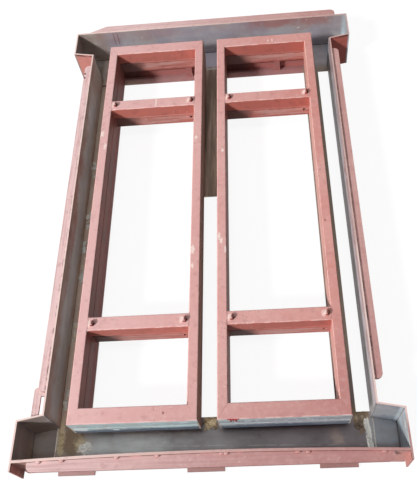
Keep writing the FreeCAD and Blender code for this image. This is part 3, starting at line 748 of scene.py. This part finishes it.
def bolt_paint(name):
    """Bolts and nuts: painted over; painted light with chalk on the left faces, painted shade with rust
    on the right.
    """
    paint = Paint(name)
    colour = worn_paint(paint, PINK_LEFT, PINK_RIGHT, RED_DULL, edge_wear=0.5)
    colour = paint.mix(paint.patches(90.0, 0.5, 0.62) * 0.4, colour, RUST)
    # Painted light on the faces that look left, painted shade on those that look right
    colour = paint.mix(paint.ramp(paint.face_x * -1, 0.1, 0.5) * 0.8, colour, CHALK_AND_HIGHLIGHT)
    colour = paint.mix(paint.ramp(paint.face_x, 0.1, 0.5) * 0.85, colour, DARK_RUST_AND_SHADE)
    colour = paint.mix(bolt_patch(paint, *BOLT_CHALK_AND_LIGHT_PATCH) * 0.7, colour, CHALK_AND_HIGHLIGHT)
    colour = paint.mix(bolt_patch(paint, *BOLT_RUST_AND_SHADOW_PATCH) * 0.9, colour, DARK_RUST_AND_SHADE)
    paint.feed(paint.shader.inputs["Specular IOR Level"], 0.15)
    return paint.finish(colour, roughness=0.8, height=paint.grain(300.0), depth=WELD_RELIEF)


def weld_paint(name):
    """Weld beads and tacks under a dusty coat of paint, burnt dark in places."""
    paint = Paint(name)
    colour = worn_paint(paint, BAR_LEFT, BAR_RIGHT, RED_DULL, edge_wear=0.2)
    colour = paint.mix(paint.patches(70.0, 0.54, 0.68) * 0.4, colour, RED_SHADE)
    return paint.finish(colour, roughness=0.75, height=paint.grain(420.0), depth=WELD_RELIEF)


def floor_weld(name, clean, cement_share):
    """Bare weld beads inside the tray, caked with cement."""
    paint = Paint(name)
    steel, crust = bare_steel(paint, clean, CEMENT_WHITE, cement_share)
    roughness = 0.6 + crust * 0.25
    metallic = (1 - crust) * 0.3
    return paint.finish(steel, roughness, paint.grain(300.0), PAINT_RELIEF, metallic)


def hard_cement(name, tone, shade):
    """Spilled cement set hard in the corners."""
    paint = Paint(name)
    colour = paint.mix(paint.patches(45.0, 0.44, 0.68, detail=5.0) * 0.8, tone, shade)
    colour = paint.mix(paint.patches(140.0, 0.58, 0.7, detail=3.0) * 0.5, colour, STEEL_DARK)
    return paint.finish(colour, roughness=0.9, height=paint.grain(240.0, 5.0), depth=CEMENT_RELIEF)


def drip_paint(name):
    """Fresh runs of red paint."""
    paint = Paint(name)
    colour = paint.mix(paint.patches(200.0, 0.4, 0.6), DRIP_RED, DRIP_DARK)
    return paint.finish(colour, roughness=0.35, height=paint.grain(200.0), depth=DRIP_RELIEF)


def dress(nodes, material):
    """Every slot of these CAD nodes takes the material."""
    for name in nodes:
        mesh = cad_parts[name].data
        mesh.materials.clear()
        mesh.materials.append(material)


def named(*words):
    """CAD nodes whose names hold all of these words."""
    return [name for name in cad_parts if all(word in name for word in words)]


def dress_frame():
    """Each CAD node takes the material of its kind."""
    upper_tubes = core_tube("core_upper_paint", RED_FACE, edge_wear=0.45, dust=1.0, bay_dust_and_shade=0.0)
    dress(named("_core_upper_"), upper_tubes)
    # The lower tubes' paint is a darker copy of the upper tubes', partly painted shade
    lower_tubes = core_tube("core_lower_paint", RED_LOWER, edge_wear=0.05, dust=0.2, bay_dust_and_shade=0.5)
    dress(named("_core_lower_"), lower_tubes)
    dress(named("_rebate_") + named("_head_leg"), rebate_flat("rebate_paint"))
    dress(named("_wall") + named("horn_end_plate"), tray_wall("wall_steel_and_paint", inward=1))
    dress(named("horn_return_plate"), tray_wall("return_steel_and_paint", inward=-1))
    dress(named("_floor_"), tray_floor("floor_steel"))
    end_bars = ["sill_stiffening_bar", "head_stiffening_bar", "foot_lugs"]
    side_bars = ["left_stiffening_bar", "right_stiffening_bar"] + named("bracket")
    dress(end_bars, painted_bar("end_bar_paint", stretch=(0.03, 1, 1)))
    dress(side_bars, painted_bar("side_bar_paint", stretch=(1, 0.03, 1)))
    dress(["core_bolts", "core_nuts"], bolt_paint("bolt_paint"))


class Lumps:
    """Many small rounded lumps in one piece: weld ripples, tacks, spilled cement."""

    def __init__(self, seed):
        self.mesh = bmesh.new()
        self.one = bpy.data.meshes.new("one_lump")
        self.chance = random.Random(seed)

    def add(self, centre, size, turn=(0.0, 0.0, 0.0), rough=0.0):
        """One lump with the given half sizes, its corners shifted at random."""
        place = Matrix.LocRotScale(Vector(centre), Euler(turn), Vector(size))
        lump = bmesh.new()
        bmesh.ops.create_uvsphere(lump, u_segments=8, v_segments=6, radius=1.0)
        for vert in lump.verts:
            vert.co *= 1 + self.chance.uniform(-rough, rough)
        bmesh.ops.transform(lump, matrix=place, verts=lump.verts)
        lump.to_mesh(self.one)
        lump.free()
        self.mesh.from_mesh(self.one)

    def run(self, start, end, width, pitch):
        """A weld bead: overlapping ripples from start to end."""
        start, end = Vector(start), Vector(end)
        along = end - start
        count = max(2, round(along.length / pitch))
        turn = along.to_track_quat("X", "Z").to_euler()
        for step in range(count + 1):
            wide = width * self.chance.uniform(0.8, 1.15)
            self.add(start + along * step / count, (pitch * 0.8, wide, wide), turn, rough=0.08)

    def spill(self, low, high, count, size, height):
        """Flat lumps scattered over a rectangle of the floor."""
        for _ in range(count):
            place = [self.chance.uniform(low[axis], high[axis]) for axis in (0, 1)]
            long = size * self.chance.uniform(0.5, 1.3)
            short = long * self.chance.uniform(0.35, 0.8)
            tall = height * self.chance.uniform(0.4, 1.0)
            turn = (0.0, 0.0, self.chance.uniform(0, math.pi))
            self.add((*place, FLOOR_TOP), (long, short, tall), turn, rough=0.22)

    def ridge(self, start, end, width, height):
        """A broken wandering ridge along the floor."""
        start, end = Vector(start), Vector(end)
        count = round((end - start).length / (width * 0.6))
        for step in range(count + 1):
            place = start.lerp(end, step / count)
            place.x += self.chance.uniform(-0.4, 0.4) * width
            size = [width * self.chance.uniform(0.5, 1.1), width * self.chance.uniform(0.7, 1.4)]
            tall = height * self.chance.uniform(0.5, 1.0)
            turn = (0.0, 0.0, self.chance.uniform(-0.4, 0.4))
            self.add((*place, FLOOR_TOP), (*size, tall), turn, rough=0.2)

    def piece(self, name, slot, material):
        """All lumps so far as one smooth piece that rides the part."""
        data = bpy.data.meshes.new(name)
        bmesh.ops.recalc_face_normals(self.mesh, faces=self.mesh.faces)
        self.mesh.to_mesh(data)
        self.mesh.free()
        bpy.data.meshes.remove(self.one)
        data.polygons.foreach_set("use_smooth", [True] * len(data.polygons))
        data.materials.append(material)
        made = bpy.data.objects.new(name, data)
        bpy.context.scene.collection.objects.link(made)
        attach(made, "root")


def sill_outside(x):
    """The bowed sill wall's outer face at one place along it."""
    low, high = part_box("sill_wall")
    bow = high.y - low.y - (HEAD_OUTER - HEAD_FACE)
    return SILL_OUTER + bow * (1 - (x / HORN_FACE) ** 2)


# Tack welds on the sill bar: place along it
SILL_TACKS = (-0.376, -0.324, -0.2, -0.11, 0.031, 0.042, 0.197, 0.219, 0.381)


def bar_tacks(material):
    """Tack welds that bridge the joint between the rim and each stiffening bar."""
    lumps = Lumps(11)
    sill_tack = (0.007, 0.0035, 0.0035)
    sill_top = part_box("sill_stiffening_bar")[1].z
    for x in SILL_TACKS:
        lumps.add((x, sill_outside(x) - 0.0015, sill_top + 0.0015), sill_tack, rough=0.12)
    head_tack = (0.007, 0.003, 0.0012)
    head_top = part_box("head_stiffening_bar")[1].z
    first, pitch = -0.36, 0.09
    for step in range(9):
        x = first + pitch * step + lumps.chance.uniform(-0.02, 0.02)
        lumps.add((x, HEAD_OUTER + 0.001, head_top), head_tack, rough=0.1)
    side_tack = (0.003, 0.007, 0.0025)
    count, inset = 12, 0.03
    for side, sign in SIDES.items():
        low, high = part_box(side + "_stiffening_bar")
        for step in range(count):
            y = low.y + inset + (high.y - low.y - 2 * inset) * step / (count - 1)
            y += lumps.chance.uniform(-0.015, 0.015)
            lumps.add((sign * (SIDE_OUTER + 0.001), y, high.z), side_tack, rough=0.12)
    lumps.piece("bar_tack_welds", "stiffener", material)


def transom_welds(material):
    """Beads up the corners where the transoms meet the stiles, and a thin one across each joint."""
    lumps = Lumps(23)
    corner_width, corner_pitch = 0.0022, 0.0035
    foot_gap, head_gap = 0.004, 0.005
    top_width, top_pitch, top_gap = 0.0009, 0.004, 0.003
    for core in CORES:
        for end in ENDS:
            tiers = [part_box(f"{core}_core_{tier}_{end}_transom") for tier in ("upper", "lower")]
            for low, high in tiers:
                for x in (low.x, high.x):
                    for y in (low.y, high.y):
                        start, stop = (x, y, low.z + foot_gap), (x, y, high.z - head_gap)
                        lumps.run(start, stop, corner_width, corner_pitch)
            low, high = tiers[0]
            for x in (low.x, high.x):
                start, stop = (x, low.y + top_gap, RIM), (x, high.y - top_gap, RIM)
                lumps.run(start, stop, top_width, top_pitch)
    lumps.piece("transom_welds", "core_upper_tube", material)


def horn_welds(material):
    """Beads in the upright corners of the four horns."""
    lumps = Lumps(37)
    low, high = FLOOR_TOP + BEAD_GAP, RIM - BEAD_GAP
    for side, sign in SIDES.items():
        for end in ENDS:
            root = SILL_HORN_ROOT if end == "sill" else HEAD_HORN_ROOT
            plate_low, plate_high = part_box(f"{end}_{side}_horn_end_plate")
            face = plate_low.x if sign > 0 else plate_high.x
            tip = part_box(f"{end}_{side}_horn_return_plate")
            tip_y = tip[0].y if end == "sill" else tip[1].y
            for x, y in ((face, tip_y), (sign * SIDE_FACE, root)):
                lumps.run((x, y, low), (x, y, high), BEAD_WIDTH, BEAD_PITCH)
    lumps.piece("horn_corner_welds", "tray_wall", material)


def floor_joint_welds(material):
    """Low beads across the mouth of each sill horn."""
    lumps = Lumps(41)
    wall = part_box("sill_left_horn_end_plate")[0].y
    past_face, wall_gap = 0.004, 0.03
    for sign in SIDES.values():
        x = sign * (SIDE_FACE + past_face)
        start, stop = (x, SILL_HORN_ROOT + BEAD_GAP, FLOOR_TOP), (x, wall + wall_gap, FLOOR_TOP)
        lumps.run(start, stop, BEAD_WIDTH, BEAD_PITCH)
    lumps.piece("floor_joint_welds", "floor_steel", material)


def cement_piece(lumps, tone, colour, shade):
    """Spilled cement of one tone as a piece on the floor."""
    lumps.piece(f"{tone}_spilled_cement", "floor_steel", hard_cement(f"{tone}_cement", colour, shade))


# Cement at the foot of the left wall: places along it and half the length of each
JAMB_SPILLS = (-0.52, -0.337, -0.155, -0.077, 0.02, 0.2)
JAMB_SPILL_REACH = 0.03


def spilled_cement():
    """Cement set hard along the left jamb, at the sill corners and in the mouth of the mullion."""
    pale = Lumps(53)
    pale.spill((-0.322, -0.642), (-0.294, -0.625), count=9, size=0.008, height=0.0015)
    pale.ridge((0.36, -0.592), (0.371, -0.656), width=0.0045, height=0.0033)
    cement_piece(pale, "pale", CEMENT_WHITE, FILM_GREY)
    brown = Lumps(59)
    brown.spill((-0.374, -0.65), (-0.362, -0.6), count=14, size=0.007, height=0.002)
    brown.spill((-0.02, -0.602), (0.008, -0.575), count=60, size=0.005, height=0.003)
    cement_piece(brown, "brown", CEMENT_TAN, SPILL_BROWN)
    jamb = Lumps(71)
    for y in JAMB_SPILLS:
        low, high = (-0.372, y - JAMB_SPILL_REACH), (-0.364, y + JAMB_SPILL_REACH)
        jamb.spill(low, high, count=10, size=0.008, height=0.003)
    cement_piece(jamb, "jamb", FILM_GREY, CEMENT_TAN)
    dark = Lumps(67)
    dark.spill((0.342, -0.61), (0.36, -0.578), count=22, size=0.006, height=0.003)
    cement_piece(dark, "dark", CEMENT_SHADE, DARK_DIRT_AND_SHADE)


# Runs of paint on the right core: place along its near edge and length, then half sizes
PAINT_RUNS = ((0.052, 0.013), (0.058, 0.007), (0.064, 0.016))
RUN_WIDTH = 0.0022
RUN_DEPTH = 0.0011
DROP_SIZE = (0.0026, 0.0015, 0.003)


def paint_drips(material):
    """Runs of paint over the near edge of the right core, from a thick line along the edge."""
    lumps = Lumps(61)
    edge_y, edge_z = CORE_SILL + 0.0005, RIM - 0.002
    lumps.run((0.047, edge_y, edge_z), (0.069, edge_y, edge_z), width=0.0016, pitch=0.003)
    top = RIM - 0.003
    for x, length in PAINT_RUNS:
        half = length / 2
        lumps.add((x, CORE_SILL, top - half), (RUN_WIDTH, RUN_DEPTH, half), rough=0.05)
        lumps.add((x, CORE_SILL, top - length), DROP_SIZE, rough=0.05)
    lumps.piece("paint_drips", "core_upper_tube", material)


def ground():
    """A pale floor that shows near white and keeps a soft shadow."""
    mesh = bmesh.new()
    bmesh.ops.create_grid(mesh, x_segments=1, y_segments=1, size=12.0)
    data = bpy.data.meshes.new("ground")
    mesh.to_mesh(data)
    mesh.free()
    made = bpy.data.objects.new("ground", data)
    bpy.context.scene.collection.objects.link(made)
    shade, white = (0.12, 0.12, 0.12, 1.0), (0.9, 0.9, 0.9, 1.0)
    paint = Paint("pale_ground")
    paint.feed(paint.shader.inputs["Base Color"], shade)
    paint.feed(paint.shader.inputs["Roughness"], 0.9)
    seen = paint.node("ShaderNodeLightPath", out="Is Camera Ray")
    mirrored = paint.node("ShaderNodeLightPath", out="Is Glossy Ray")
    glow = paint.mix(paint.larger(seen, mirrored), BLACK, white)
    paint.feed(paint.shader.inputs["Emission Color"], glow)
    paint.feed(paint.shader.inputs["Emission Strength"], 1.0)
    data.materials.append(paint.material)


# How far off the lamps hang, in metres
LAMP_DISTANCE = 20.0


def lamp(name, towards, size, energy):
    """A large soft lamp far off in the given direction."""
    direction = Vector(towards).normalized()
    light = bpy.data.lights.new(name, "AREA")
    light.shape = "DISK"
    light.size = size
    light.energy = energy
    made = bpy.data.objects.new(name, light)
    made.location = direction * LAMP_DISTANCE
    made.rotation_euler = direction.to_track_quat("Z", "Y").to_euler()
    made.visible_camera = False
    bpy.context.scene.collection.objects.link(made)


def lights():
    """A soft lamp from the front left, a weaker one overhead and a dim pale sky."""
    lamp("key_lamp", towards=(-1.0, -0.85, 1.0), size=3.0, energy=3650.0)
    lamp("top_lamp", towards=(0.0, -0.05, 1.0), size=7.0, energy=950.0)
    sky_light()


def sky_light():
    """A pale sky, brightest overhead and to the left; the camera sees it white."""
    brightest = (-0.15, 0.1, 0.96)
    world = bpy.data.worlds.new("pale_sky")
    world.use_nodes = True
    nodes, links = world.node_tree.nodes, world.node_tree.links
    direction = nodes.new("ShaderNodeTexCoord")
    lean = nodes.new("ShaderNodeVectorMath")
    lean.operation = "DOT_PRODUCT"
    lean.inputs[1].default_value = brightest
    links.new(direction.outputs["Generated"], lean.inputs[0])
    level = nodes.new("ShaderNodeMapRange")
    for name, value in (("From Min", 0.0), ("From Max", 1.0), ("To Min", 0.04), ("To Max", 0.34)):
        level.inputs[name].default_value = value
    links.new(lean.outputs["Value"], level.inputs["Value"])
    path = nodes.new("ShaderNodeLightPath")
    seen = nodes.new("ShaderNodeMath")
    seen.operation = "MAXIMUM"
    links.new(path.outputs["Is Camera Ray"], seen.inputs[0])
    links.new(level.outputs["Result"], seen.inputs[1])
    links.new(seen.outputs["Value"], nodes["Background"].inputs["Strength"])
    nodes["Background"].inputs["Color"].default_value = (1.0, 1.0, 1.0, 1.0)
    bpy.context.scene.world = world


def camera():
    """The photograph's viewpoint, from a fit to the mould's straight edges."""
    # Focal length, the photograph's longer side and the shift of its middle, in its pixels
    focal, longest = 615.65, 500.0
    off_right, off_up = -26.15, 12.28
    tilt, yaw, roll = (math.radians(angle) for angle in (60.43, -7.34, -9.37))
    eye = Vector((0.1659, -0.9756, 1.4769))
    ahead = math.cos(tilt)
    forward = Vector((math.sin(yaw) * ahead, math.cos(yaw) * ahead, -math.sin(tilt)))
    level = Vector((math.cos(yaw), -math.sin(yaw), 0.0))
    down = forward.cross(level)
    right = level * math.cos(roll) - down * math.sin(roll)
    below = level * math.sin(roll) + down * math.cos(roll)
    lens = bpy.data.cameras.new("camera")
    lens.sensor_width = 36.0
    lens.lens = focal * lens.sensor_width / longest
    lens.shift_x = off_right / longest
    lens.shift_y = off_up / longest
    lens.clip_start = 0.01
    made = bpy.data.objects.new("camera", lens)
    turn = Matrix((right, -below, -forward)).transposed()
    made.matrix_world = Matrix.Translation(eye) @ turn.to_4x4()
    bpy.context.scene.collection.objects.link(made)
    bpy.context.scene.camera = made


dress_frame()
bead = weld_paint("weld_paint")
bare_bead = floor_weld("floor_weld", STEEL_BROWN, cement_share=0.8)
bar_tacks(bead)
transom_welds(bead)
horn_welds(floor_weld("corner_weld", STEEL_DULL, cement_share=0.2))
floor_joint_welds(bare_bead)
spilled_cement()
paint_drips(drip_paint("drip_paint"))
ground()
lights()
camera()
bpy.context.scene.view_settings.view_transform = "Standard"
